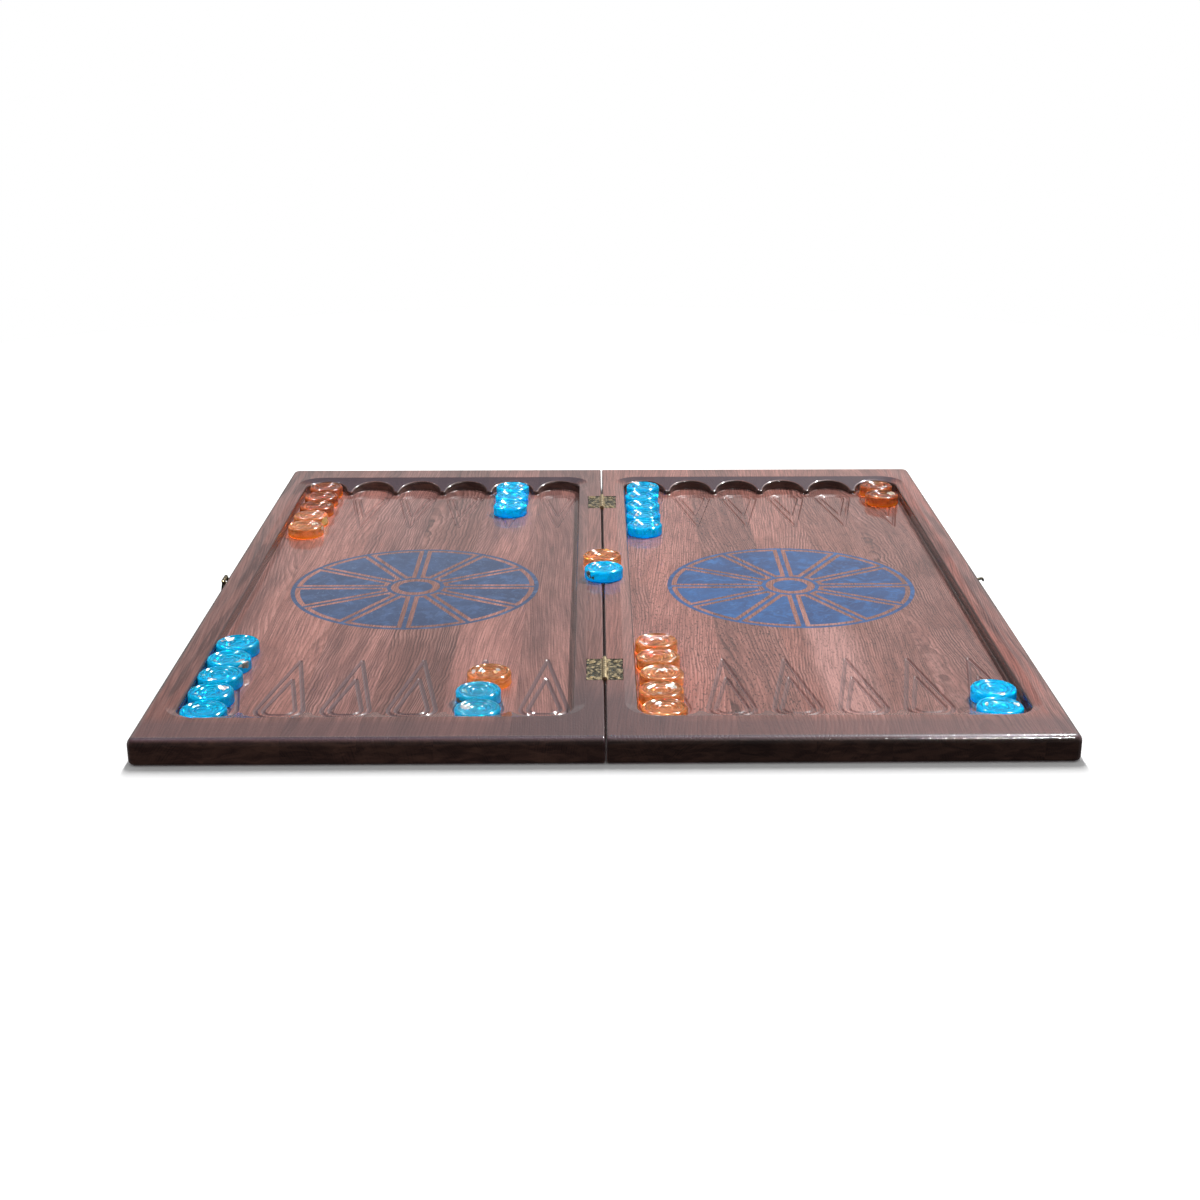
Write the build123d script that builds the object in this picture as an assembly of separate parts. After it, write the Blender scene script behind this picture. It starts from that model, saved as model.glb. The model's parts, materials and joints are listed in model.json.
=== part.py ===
from build123d import *
import math
import os

# Folding backgammon board, opened flat. Millimetres, +Z up, +X to the right, +Y to the far side.
# Origin: underside, at the middle of the seam between the two halves.

# ---------------------------------------------------------------- driving dimensions
LENGTH = 650.0            # Y size of each half
HALF_WIDTH = 300.0        # seam plane to outer side of one half
THICK = 18.0              # thickness of one half
SEAM_GAP = 1.2            # gap between the two halves, opened flat
RECESS = 10.5             # depth of the playing recess
CORNER_R = 6.0            # outer corners in plan
TOP_R = 5.0               # round-over along the top outer edges
BOTTOM_R = 3.0            # round-over along the bottom outer edges
SEAM_R = 1.2              # small rounding around the seam face

COLS = 6                  # points across each half
PITCH = 44.0              # point to point
NICHE_R = 19.0            # radius of the half-round niches
COL_1 = 40.5              # first column's middle, from the seam
NICHE_Y = 268.0           # niche centres, from the middle of the board
TIP_R = 2.9               # rounding of the cusps between niches

LIP_SIDE = 13.0           # outer line of the sloped lip, from the half's sides
LIP_FAR = 30.0            # the same, from the far end
LIP_NEAR = 35.5           # the same, from the near end
LIP_R = 22.0              # its corner radius
LIP_SLOPE = 0.25          # drop per millimetre inwards
RIM_R = 1.9               # rounding along the top of the recess wall
COVE_R = 1.0              # rounding between floor and wall

GROOVE_W = 3.4            # width of the carved lines
GROOVE_D = 0.75           # their depth
POINT_TIP = 163.0         # tip of the outer carved line, from the middle of the board
POINT_IN_TIP = 198.3      # tip of the inner carved line

MED_X = 150.5             # centre of the medallion
MED_R = 98.8              # outer ring, outside
MED_R_IN = 95.4           # outer ring, inside
PANEL_R = 91.4            # wedge panels, outside
PANEL_R_IN = 26.8         # wedge panels, inside
HUB_RING_R = 23.0         # hub ring, outside
HUB_RING_R_IN = 19.7      # hub ring, inside
HUB_R = 13.6              # hub disc
SPOKE_W = 3.3             # spoke lines
SPOKE_BAND = 3.6          # wood left either side of a spoke line
INLAY_D = 2.5             # depth of the resin

HINGE_Y = 207.5           # hinge middles, from the middle of the board
HINGE_L = 39.0
LEAF_W = 12.5             # seam axis to a leaf's outer edge
LEAF_T = 1.0
KNUCKLE_R = 1.7
KNUCKLES = 5
AXIS_Z = THICK + 0.4      # hinge axis: the closed halves stay 0.8 apart
PIN_R = 0.80
BORE_R = 0.85
KNUCKLE_GAP = 0.3         # between neighbouring knuckles
MORTISE_GAP = 0.35        # around a leaf
HINGE_SCREW_X = 8.2
HINGE_SCREW_DY = 14.5

CHECKER_R = 15.4
CHECKER_H = 9.5
CHECKER_STEP = 31.2       # spacing along a column
FIRST_Y = 268.0           # first checker of a column, from the middle of the board

PLATE_T = 1.0             # clasp and catch plates
PLATE_W = 26.0
PLATE_Z = (3.6, 12.8)     # on the flat band of the side face
PIVOT_OUT = 2.8           # hasp pivot, out from the side face
PIVOT_Z = 14.8
HASP_T = 1.1
HASP_HALF = 3.9
HASP_END = 12.1           # pivot to the start of the curled lip
CURL_R = 1.3              # centre line of the curl
HASP_SWING = 170.0        # from hanging to standing up
CLASP_PIN_R = 0.70
CLASP_BORE_R = 0.78

FLOOR_Z = THICK - RECESS
os.makedirs("parts", exist_ok=True)
made = {}


def save(name, shape):
    shape.label = name
    export_step(shape, "parts/" + name + ".step")
    made[name] = shape


def flip(shape):
    """The mirror image across the seam plane."""
    return mirror(shape, about=Plane.YZ)


# ---------------------------------------------------------------- one half (right), without pockets
def panel():
    x0 = SEAM_GAP / 2
    y1 = LENGTH / 2
    body = Pos((x0 + HALF_WIDTH) / 2, 0, THICK / 2) * Box(HALF_WIDTH - x0, LENGTH, THICK)
    tall = [e for e in body.edges().filter_by(Axis.Z) if e.center().X > HALF_WIDTH - 1]
    body = fillet(tall, CORNER_R)
    top = [e for e in body.edges() if e.center().Z > THICK - 0.01 and e.center().X > x0 + 1]
    body = fillet(top, TOP_R)
    low = [e for e in body.edges() if e.center().Z < 0.01 and e.center().X > x0 + 1]
    body = fillet(low, BOTTOM_R)
    seam = [e for e in body.edges() if abs(e.bounding_box().max.X - x0) < 0.01]
    body = fillet(seam, SEAM_R)
    return body


def recess_outline():
    """Plan of the recess at its vertical wall: a rectangle with half-round niches at both ends."""
    x_a, x_b = COL_1 - NICHE_R, COL_1 + (COLS - 1) * PITCH + NICHE_R
    area = Pos((x_a + x_b) / 2, 0) * Rectangle(x_b - x_a, 2 * NICHE_Y)
    for k in range(COLS):
        for s in (1, -1):
            area += Pos(COL_1 + k * PITCH, s * NICHE_Y) * Circle(NICHE_R)
    tips = [
        v
        for v in area.vertices()
        if abs(abs(v.Y) - NICHE_Y) < 0.01 and x_a + 1 < v.X < x_b - 1
    ]
    return fillet(tips, TIP_R)


def lip_cutter():
    """The sloped lip that runs down from the top face to the recess wall."""
    x_a, x_b = LIP_SIDE, HALF_WIDTH - LIP_SIDE
    y_far, y_near = LENGTH / 2 - LIP_FAR, LIP_NEAR - LENGTH / 2
    long, mid_y = y_far - y_near, (y_far + y_near) / 2
    rim = 16.0
    rise = 2.0
    rings = []
    for inset, z in ((0.0, THICK), (rim, THICK - rim * LIP_SLOPE)):
        ring = Pos((x_a + x_b) / 2, mid_y, z) * RectangleRounded(
            x_b - x_a - 2 * inset, long - 2 * inset, LIP_R - inset
        )
        rings.append(ring)
    shell = loft(rings, ruled=True)
    lid = Pos(0, 0, THICK) * extrude(
        Pos((x_a + x_b) / 2, mid_y) * RectangleRounded(x_b - x_a, long, LIP_R), rise
    )
    drop = RECESS / LIP_SLOPE
    wedge_profile = Plane.YZ * make_face(
        Polyline(
            (y_far, THICK),
            (y_far - drop, FLOOR_Z),
            (y_near + drop, FLOOR_Z),
            (y_near, THICK),
            close=True,
        )
    )
    wedge = Pos(50.0, 0, 0) * extrude(wedge_profile, 200.0)
    return shell + lid + wedge


def recess_cutter():
    area = recess_outline()
    tool = Pos(0, 0, FLOOR_Z) * extrude(area, RECESS + 4)
    low = [e for e in tool.edges() if e.center().Z < FLOOR_Z + 0.01]
    return fillet(low, COVE_R)


def drop_outline(tip, slope, base_y, base_r):
    """A teardrop seen from above, tip towards -Y: a tall triangle with a rounded base."""
    half = slope * (base_y - tip)
    area = make_face(Polyline((0, tip), (half, base_y), (-half, base_y), close=True))
    corners = [v for v in area.vertices() if v.Y > base_y - 0.1]
    return fillet(corners, base_r)


def carved_line(face):
    """The groove along a closed outline: sloped sides, narrower at the bottom."""
    outer = offset(face, GROOVE_W / 2, kind=Kind.ARC)
    inner = offset(face, -GROOVE_W / 2, kind=Kind.INTERSECTION)
    big = extrude(outer, amount=GROOVE_D, dir=(0, 0, -1), taper=60)
    small = extrude(inner, amount=GROOVE_D, dir=(0, 0, -1), taper=-60)
    return big - small


def disc(radius):
    return Pos(MED_X, 0) * Circle(radius)


def spokes(width):
    bars = [Pos(MED_X, 0) * Rot(0, 0, 30 * k) * Rectangle(2 * (MED_R + 4), width) for k in range(6)]
    area = bars[0]
    for bar in bars[1:]:
        area += bar
    return area


def inlay(area):
    return Pos(0, 0, FLOOR_Z - INLAY_D) * extrude(area, INLAY_D)


def screw(head_r, head_t, shank_r, length, dome):
    """A countersunk wood screw pointing down, its head's rim at z = 0; without the slot."""
    profile = make_face(
        Wire(
            [
                Line((0, dome), (0, -length - 1.2)),
                Line((0, -length - 1.2), (shank_r, -length)),
                Line((shank_r, -length), (shank_r, -head_t)),
                Line((shank_r, -head_t), (head_r, 0)),
                ThreePointArc((head_r, 0), (head_r * 0.55, dome * 0.72), (0, dome)),
            ]
        )
    )
    return revolve(Plane.XZ * profile, axis=Axis.Z)


def slot_cut(head_r, width, depth, dome):
    return Pos(0, 0, dome / 2 - depth / 2 + 0.1) * Box(2 * head_r + 1, width, depth + dome + 0.2)


def prism(face_xz, y0, y1):
    """A profile drawn in (x, z), pulled from y0 to y1."""
    return Pos(0, y0, 0) * extrude(Plane.XZ * face_xz, amount=y1 - y0, dir=(0, 1, 0))


def cyl_y(radius, y0, y1, x=0.0, z=0.0):
    return Pos(x, (y0 + y1) / 2, z) * Rot(90, 0, 0) * Cylinder(radius, y1 - y0)


# ---------------------------------------------------------------- hinges
def knuckle_spans(first):
    pitch = HINGE_L / KNUCKLES
    spans = []
    for k in range(first, KNUCKLES, 2):
        y0 = HINGE_Y - HINGE_L / 2 + k * pitch
        a = y0 + (KNUCKLE_GAP / 2 if k > 0 else 0)
        b = y0 + pitch - (KNUCKLE_GAP / 2 if k < KNUCKLES - 1 else 0)
        spans.append((a, b))
    return spans


def hinge_screw_bodies():
    places = []
    for dy in (-HINGE_SCREW_DY, HINGE_SCREW_DY):
        places.append(Pos(HINGE_SCREW_X, HINGE_Y + dy, THICK))
    return places


def leaf(first):
    """The right leaf of the far hinge; first knuckle 0 or 1."""
    inner = KNUCKLE_R + 0.4
    outline = Pos((inner + LEAF_W) / 2, HINGE_Y) * Rectangle(LEAF_W - inner, HINGE_L)
    outer = [v for v in outline.vertices() if v.X > LEAF_W - 0.1]
    outline = fillet(outer, 2.0)
    for dy in (-6.4, 6.4):
        outline -= Pos(LEAF_W + 3.3, HINGE_Y + dy) * Circle(4.0)
    plate = Pos(0, 0, THICK - LEAF_T) * extrude(outline, LEAF_T)
    sunk = Pos((inner + LEAF_W) / 2 - 0.1, HINGE_Y) * RectangleRounded(LEAF_W - inner - 2.6, HINGE_L - 2.4, 1.2)
    plate -= Pos(0, 0, THICK - 0.25) * extrude(sunk, 1.0)
    for a, b in knuckle_spans(first):
        plate += Pos(inner / 2 + 0.2, (a + b) / 2, THICK - LEAF_T / 2) * Box(inner + 0.4, b - a, LEAF_T)
        plate += cyl_y(KNUCKLE_R, a, b, 0, AXIS_Z)
    plate -= cyl_y(BORE_R, HINGE_Y - HINGE_L, HINGE_Y + HINGE_L, 0, AXIS_Z)
    for place in hinge_screw_bodies():
        plate -= place * screw(2.2, 1.0, 1.1, 8.0, 0.2)
    return plate


# ---------------------------------------------------------------- clasp and catch (drawn on the right side)
def side_plate():
    z0, z1 = PLATE_Z
    outline = Plane.YZ.offset(HALF_WIDTH) * Pos(0, (z0 + z1) / 2) * RectangleRounded(PLATE_W, z1 - z0, 2.2)
    return extrude(outline, amount=PLATE_T, dir=(1, 0, 0))


def side_screws():
    places = []
    for y in (-9.2, 9.2):
        places.append(Pos(HALF_WIDTH + PLATE_T, y, sum(PLATE_Z) / 2) * Rot(0, 90, 0))
    return places


def side_screw():
    return screw(1.9, 0.8, 0.9, 7.0, 0.2)


def clasp_plate_shape():
    plate = side_plate()
    px, pz = HALF_WIDTH + PIVOT_OUT, PIVOT_Z
    ear = make_face(
        Wire(
            [
                Line((HALF_WIDTH + 0.2, 9.4), (HALF_WIDTH + PLATE_T, 9.0)),
                Line((HALF_WIDTH + PLATE_T, 9.0), (px + 1.5, pz)),
                ThreePointArc((px + 1.5, pz), (px, pz + 1.5), (px - 1.5, pz)),
                Line((px - 1.5, pz), (HALF_WIDTH + 0.2, 12.6)),
                Line((HALF_WIDTH + 0.2, 12.6), (HALF_WIDTH + 0.2, 9.4)),
            ]
        )
    )
    for s in (1, -1):
        a, b = sorted((s * (HASP_HALF + 0.4), s * (HASP_HALF + 1.9)))
        plate += prism(ear, a, b)
    for place in side_screws():
        plate -= place * side_screw()
    plate -= cyl_y(CLASP_PIN_R, -10, 10, px, pz)
    return plate


def clasp_pin_shape():
    px, pz = HALF_WIDTH + PIVOT_OUT, PIVOT_Z
    end = HASP_HALF + 1.9
    pin = cyl_y(CLASP_PIN_R, -end - 0.6, end + 0.6, px, pz)
    for s in (1, -1):
        pin += Pos(px, s * (end + 1.0), pz) * Sphere(1.15)
    keep = Pos(px, 0, pz) * Box(10, 2 * end, 10)
    balls = pin - keep
    return balls + cyl_y(CLASP_PIN_R, -end - 0.2, end + 0.2, px, pz)


def hasp_shape():
    """Drawn standing up (closed position), then swung down to where it hangs."""
    px, pz = HALF_WIDTH + PIVOT_OUT, PIVOT_Z
    n0, n1 = px - 1.2, px - 1.2 + HASP_T       # arm, inner and outer face
    cx, cz = (n0 + n1) / 2 + CURL_R, pz + HASP_END
    r_out, r_in = CURL_R + HASP_T / 2, CURL_R - HASP_T / 2
    k = math.sqrt(0.5)
    strip = make_face(
        Wire(
            [
                Line((n0, pz), (n0, cz)),
                ThreePointArc((n0, cz), (cx - r_out * k, cz + r_out * k), (cx, cz + r_out)),
                Line((cx, cz + r_out), (cx + 0.8, cz + r_out)),
                ThreePointArc((cx + 0.8, cz + r_out), (cx + 0.8 + HASP_T / 2, cz + CURL_R), (cx + 0.8, cz + r_in)),
                Line((cx + 0.8, cz + r_in), (cx, cz + r_in)),
                ThreePointArc((cx, cz + r_in), (cx - r_in * k, cz + r_in * k), (n1, cz)),
                Line((n1, cz), (n1, pz)),
                Line((n1, pz), (n0, pz)),
            ]
        )
    )
    hasp = prism(strip, -HASP_HALF, HASP_HALF)
    hasp += cyl_y(1.5, -HASP_HALF, HASP_HALF, px, pz)
    hasp -= cyl_y(CLASP_BORE_R, -10, 10, px, pz)
    hasp -= Pos(px, 0, pz + 10.0) * Box(12, 4.4, 3.8)          # slot, 8.1 to 11.9 from the pivot
    axis = Axis((px, 0, pz), (0, 1, 0))
    return hasp.rotate(axis, HASP_SWING)


def clasp_reach():
    """How far the hanging hasp stands out of the side face."""
    t = math.radians(180 - HASP_SWING)
    n, u = CURL_R - 1.2 + HASP_T / 2, HASP_END
    return PIVOT_OUT - n * math.cos(t) + u * math.sin(t) + CURL_R + HASP_T / 2


def catch_plate_shape():
    plate = side_plate()
    tip = HALF_WIDTH + clasp_reach()
    x0 = HALF_WIDTH + 0.2
    hook = make_face(
        Polyline(
            (x0, 11.6), (x0, 12.6), (tip - 2.0, 13.5), (tip - 0.4, 13.3), (tip, 12.7),
            (tip - 0.15, 10.9), (tip - 1.15, 10.9), (tip - 1.25, 12.2), (tip - 2.0, 12.4),
            close=True,
        )
    )
    plate += prism(hook, -1.7, 1.7)
    for place in side_screws():
        plate -= place * side_screw()
    return plate


# ---------------------------------------------------------------- checkers
def checker_shape():
    profile = make_face(
        Polyline(
            (0, 0), (CHECKER_R, 0), (CHECKER_R, CHECKER_H), (9.0, CHECKER_H),
            (6.3, CHECKER_H - 1.0), (0, CHECKER_H - 1.0), close=True,
        )
    )
    solid = revolve(Plane.XZ * profile, axis=Axis.Z)
    rims = solid.edges().filter_by(GeomType.CIRCLE)
    top = [e for e in rims if e.center().Z > CHECKER_H - 0.01 and e.radius > CHECKER_R - 0.1]
    solid = fillet(top, 2.2)
    rims = solid.edges().filter_by(GeomType.CIRCLE)
    low = [e for e in rims if e.center().Z < 0.01 and e.radius > CHECKER_R - 0.1]
    solid = fillet(low, 1.5)
    rims = solid.edges().filter_by(GeomType.CIRCLE)
    lip = [e for e in rims if abs(e.center().Z - CHECKER_H) < 0.01 and abs(e.radius - 9.0) < 0.05]
    return fillet(lip, 0.8)


def column(x, side, count, jitter):
    """Checkers of one column from the end inwards, with small hand-placed offsets."""
    places = []
    for k in range(count):
        dx, dy = jitter[k] if k < len(jitter) else (0.0, 0.0)
        places.append((x + dx, side * (FIRST_Y - k * CHECKER_STEP) + dy, FLOOR_Z))
    return places


CHECKERS = {
    "blue": (
        column(-84.1, 1, 3, [(0.0, 0.0), (0.5, 0.1), (0.4, -0.2)])
        + column(-263.8, -1, 5, [(1.5, -2.8), (0.0, -3.1), (-0.1, -3.4), (-0.1, -3.7), (0.0, -4.0)])
        + column(37.2, 1, 5, [(1.9, -0.6), (0.0, -0.5), (0.3, -0.4), (-0.1, -0.3), (0.2, -0.2)])
        + column(261.0, -1, 2, [(-2.0, -2.6), (0.4, -2.8)])
        + [(0.5, -9.5, THICK)]
    ),
    "teal": column(-84.5, -1, 2, [(0.9, -2.4), (-0.5, -2.7)]),
    "amber": (
        column(-260.5, 1, 5, [(0.2, 0.0), (0.0, 0.1), (0.3, -0.1), (-0.2, -0.1), (0.1, -0.2)])
        + [(-79.5, -206.6, FLOOR_Z)]
        + column(260.5, 1, 2, [(-0.1, 0.0), (0.6, -0.2)])
        + column(38.0, -1, 5, [(1.0, -2.6), (-0.1, -2.9), (1.2, -3.2), (0.0, -3.5), (-0.3, -3.8)])
        + [(-0.5, 22.5, THICK)]
    ),
}


# ---------------------------------------------------------------- the right half
tray = panel() - lip_cutter() - recess_cutter()
rim = []
for e in tray.edges():
    c, box = e.center(), e.bounding_box()
    if c.X < 3 or c.X > 296 or box.max.Z > THICK - 0.3 or box.min.Z < FLOOR_Z + 1.2:
        continue
    if box.size.Z > 0.9 * max(box.size.X, box.size.Y, 1e-6):
        continue
    rim.append(e)
tray = fillet(rim, RIM_R)

outer_line = carved_line(drop_outline(POINT_TIP, 0.177, 265.0, 12.0))
inner_line = carved_line(drop_outline(POINT_IN_TIP, 0.195, 260.4, 7.5))
lines = []
for k in range(COLS):
    for shape in (outer_line, inner_line):
        lines.append(Pos(COL_1 + k * PITCH, 0, FLOOR_Z) * shape)
        lines.append(Pos(COL_1 + k * PITCH, 0, FLOOR_Z) * mirror(shape, about=Plane.XZ))
tray = tray - lines

web_area = (disc(MED_R) - disc(MED_R_IN)) + (spokes(SPOKE_W) & disc(MED_R - 1) - disc(HUB_RING_R - 1))
web_area = web_area + (disc(HUB_RING_R) - disc(HUB_RING_R_IN))
panel_area = disc(PANEL_R) - disc(PANEL_R_IN) - spokes(SPOKE_W + 2 * SPOKE_BAND)
web = inlay(web_area)
wedges = inlay(panel_area)
hub = inlay(disc(HUB_R))
tray = tray - web - wedges - hub

leaf_far = leaf(0)                                   # right leaf: knuckles 1, 3 and 5
leaf_far_l = flip(leaf(1))                           # left leaf: knuckles 2 and 4
for side in (1, -1):
    y = side * HINGE_Y
    g = MORTISE_GAP
    tray -= Pos((LEAF_W + g) / 2, y, THICK - LEAF_T + 2) * Box(LEAF_W + g, HINGE_L + 2 * g, 4.0)
    tray -= cyl_y(KNUCKLE_R + 0.4, y - HINGE_L / 2 - 0.7, y + HINGE_L / 2 + 0.7, 0, AXIS_Z)

hinge_fasteners, hinge_slotted = [], []
for place in hinge_screw_bodies():
    for turned in (False, True):
        body = place * screw(2.2, 1.0, 1.1, 8.0, 0.2)
        angle = 25 if turned else -40
        cut = body - place * Rot(0, 0, angle) * slot_cut(2.2, 0.5, 0.45, 0.2)
        if turned:
            body, cut = mirror(body, about=Plane.XZ), mirror(cut, about=Plane.XZ)
        hinge_fasteners.append(body)
        hinge_slotted.append(cut)
tray = tray - hinge_fasteners
side_fasteners = [place * side_screw() for place in side_screws()]
side_slotted = [
    place * (side_screw() - Rot(0, 0, 35 + 40 * n) * slot_cut(1.9, 0.45, 0.4, 0.2))
    for n, place in enumerate(side_screws())
]
tray = tray - side_fasteners

save("tray_right", tray)
save("tray_left", flip(tray))
save("medallion_web_right", web)
save("medallion_web_left", flip(web))
save("medallion_panels_right", Compound(children=list(wedges.solids())))
save("medallion_panels_left", Compound(children=[flip(s) for s in wedges.solids()]))
save("medallion_hub_right", hub)
save("medallion_hub_left", flip(hub))

pin_far = cyl_y(PIN_R, HINGE_Y - HINGE_L / 2 - 0.3, HINGE_Y + HINGE_L / 2 + 0.3, 0, AXIS_Z)
save("hinge_far_leaf_right", leaf_far)
save("hinge_far_leaf_left", leaf_far_l)
save("hinge_far_pin", pin_far)
save("hinge_near_leaf_right", mirror(leaf_far, about=Plane.XZ))
save("hinge_near_leaf_left", mirror(leaf_far_l, about=Plane.XZ))
save("hinge_near_pin", mirror(pin_far, about=Plane.XZ))
save("hinge_screws_right", Compound(children=hinge_slotted))
save("hinge_screws_left", Compound(children=[flip(s) for s in hinge_slotted]))

save("clasp_plate", flip(clasp_plate_shape()))
save("clasp_pin", flip(clasp_pin_shape()))
save("clasp_hasp", flip(hasp_shape()))
save("clasp_screws", Compound(children=[flip(s) for s in side_slotted]))
save("catch_plate", catch_plate_shape())
save("catch_screws", Compound(children=[Pos(0, 0, 0) * s for s in side_slotted]))

checker = checker_shape()
for colour, places in CHECKERS.items():
    for n, place in enumerate(places):
        save("checker_%s_%02d" % (colour, n + 1), Pos(*place) * checker)
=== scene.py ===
import json
import math
import random

import bmesh
import bpy
from mathutils import Matrix, Vector, noise as mnoise

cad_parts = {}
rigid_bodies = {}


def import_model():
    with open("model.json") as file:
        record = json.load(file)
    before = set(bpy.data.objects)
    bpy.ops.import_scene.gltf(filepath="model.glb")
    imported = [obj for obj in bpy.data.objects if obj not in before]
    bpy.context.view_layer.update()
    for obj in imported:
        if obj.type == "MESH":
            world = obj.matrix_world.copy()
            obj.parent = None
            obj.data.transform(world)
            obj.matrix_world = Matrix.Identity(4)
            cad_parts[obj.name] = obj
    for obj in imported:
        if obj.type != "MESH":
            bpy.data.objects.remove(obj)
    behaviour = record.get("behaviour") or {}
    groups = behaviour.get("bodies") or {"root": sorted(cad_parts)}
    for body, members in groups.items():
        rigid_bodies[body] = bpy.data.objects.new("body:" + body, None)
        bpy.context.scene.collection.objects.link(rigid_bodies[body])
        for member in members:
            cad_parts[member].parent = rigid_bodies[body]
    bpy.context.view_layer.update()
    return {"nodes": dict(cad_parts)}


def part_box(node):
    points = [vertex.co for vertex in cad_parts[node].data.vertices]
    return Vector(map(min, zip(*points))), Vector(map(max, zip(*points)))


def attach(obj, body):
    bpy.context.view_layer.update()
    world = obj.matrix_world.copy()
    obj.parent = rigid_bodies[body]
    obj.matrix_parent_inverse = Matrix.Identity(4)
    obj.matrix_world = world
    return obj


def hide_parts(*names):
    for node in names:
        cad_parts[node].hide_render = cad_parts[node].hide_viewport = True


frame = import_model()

scene = bpy.context.scene
NODES = frame["nodes"]


# ---------------------------------------------------------------- camera
PX = 1200.0
FOCAL_PX = 1729.0
PITCH = 19.309
YAW = 0.6426
cam_data = bpy.data.cameras.new("photo_camera")
cam_data.sensor_width = 36.0
cam_data.lens = FOCAL_PX / PX * 36.0
cam_data.shift_x = -13.76 / PX
cam_data.clip_start = 0.05
cam_data.clip_end = 60.0
cam = bpy.data.objects.new("photo_camera", cam_data)
scene.collection.objects.link(cam)
cam.location = (-0.0062, -1.3145, 0.4563)
cam.rotation_euler = (math.radians(90 - PITCH), 0.0, math.radians(-YAW))
scene.camera = cam


# ---------------------------------------------------------------- node helper
class Net:
    """Builds a material's node tree; every argument may be a number, a tuple or a socket."""

    def __init__(self, tree):
        self.tree = tree
        self.nodes = tree.nodes

    def put(self, socket, value):
        if value is None:
            return
        if isinstance(value, bpy.types.NodeSocket):
            self.tree.links.new(value, socket)
        else:
            if hasattr(socket.default_value, "__len__") and not hasattr(value, "__len__"):
                value = [value] * len(socket.default_value)
            if hasattr(socket.default_value, "__len__") and len(socket.default_value) == 4 and len(value) == 3:
                value = tuple(value) + (1.0,)
            socket.default_value = value

    def node(self, kind, **props):
        made = self.nodes.new("ShaderNode" + kind)
        for name, value in props.items():
            setattr(made, name, value)
        return made

    def math(self, op, a, b=None, c=None, clamp=False):
        n = self.node("Math", operation=op, use_clamp=clamp)
        for i, v in enumerate((a, b, c)):
            if v is not None:
                self.put(n.inputs[i], v)
        return n.outputs[0]

    def vmath(self, op, a, b=None, scale=None):
        n = self.node("VectorMath", operation=op)
        self.put(n.inputs[0], a)
        if b is not None:
            self.put(n.inputs[1], b)
        if scale is not None:
            self.put(n.inputs["Scale"], scale)
        return n.outputs["Value"] if op in ("LENGTH", "DOT_PRODUCT", "DISTANCE") else n.outputs["Vector"]

    def xyz(self, vec):
        n = self.node("SeparateXYZ")
        self.put(n.inputs[0], vec)
        return n.outputs[0], n.outputs[1], n.outputs[2]

    def vec(self, x, y, z):
        n = self.node("CombineXYZ")
        for i, v in enumerate((x, y, z)):
            self.put(n.inputs[i], v)
        return n.outputs[0]

    def mix(self, fac, a, b, blend="MIX"):
        n = self.node("Mix", data_type="RGBA", blend_type=blend)
        self.put(n.inputs[0], fac)
        self.put(n.inputs[6], a)
        self.put(n.inputs[7], b)
        return n.outputs[2]

    def fmix(self, fac, a, b):
        n = self.node("Mix", data_type="FLOAT")
        self.put(n.inputs[0], fac)
        self.put(n.inputs[2], a)
        self.put(n.inputs[3], b)
        return n.outputs[0]

    def ramp(self, fac, stops, interpolation="LINEAR"):
        n = self.node("ValToRGB")
        n.color_ramp.interpolation = interpolation
        els = n.color_ramp.elements
        while len(els) < len(stops):
            els.new(0.5)
        for e, (p, c) in zip(els, stops):
            e.position = p
            e.color = (c, c, c, 1.0) if not hasattr(c, "__len__") else tuple(c) + (1.0,)
        self.put(n.inputs[0], fac)
        return n.outputs[0]

    def noise(self, vec, scale=1.0, detail=3.0, rough=0.5, distortion=0.0, dim="3D", w=None):
        n = self.node("TexNoise", noise_dimensions=dim)
        if vec is not None:
            self.put(n.inputs["Vector"], vec)
        if w is not None:
            self.put(n.inputs["W"], w)
        self.put(n.inputs["Scale"], scale)
        self.put(n.inputs["Detail"], detail)
        self.put(n.inputs["Roughness"], rough)
        self.put(n.inputs["Distortion"], distortion)
        return n.outputs["Fac"]

    def remap(self, v, a, b, c=0.0, d=1.0, smooth=False):
        n = self.node("MapRange", clamp=True)
        if smooth:
            n.interpolation_type = "SMOOTHSTEP"
        for i, x in enumerate((v, a, b, c, d)):
            self.put(n.inputs[i], x)
        return n.outputs[0]

    def bump(self, height, distance, strength=1.0, normal=None):
        n = self.node("Bump")
        self.put(n.inputs["Height"], height)
        self.put(n.inputs["Distance"], distance)
        self.put(n.inputs["Strength"], strength)
        if normal is not None:
            self.put(n.inputs["Normal"], normal)
        return n.outputs[0]

    def bsdf(self, **inputs):
        n = self.node("BsdfPrincipled")
        for name, value in inputs.items():
            self.put(n.inputs[name.replace("_", " ")], value)
        return n


def material(name):
    mat = bpy.data.materials.new(name)
    mat.use_nodes = True
    mat.node_tree.nodes.clear()
    net = Net(mat.node_tree)
    net.out = net.node("OutputMaterial")
    return mat, net


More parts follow.
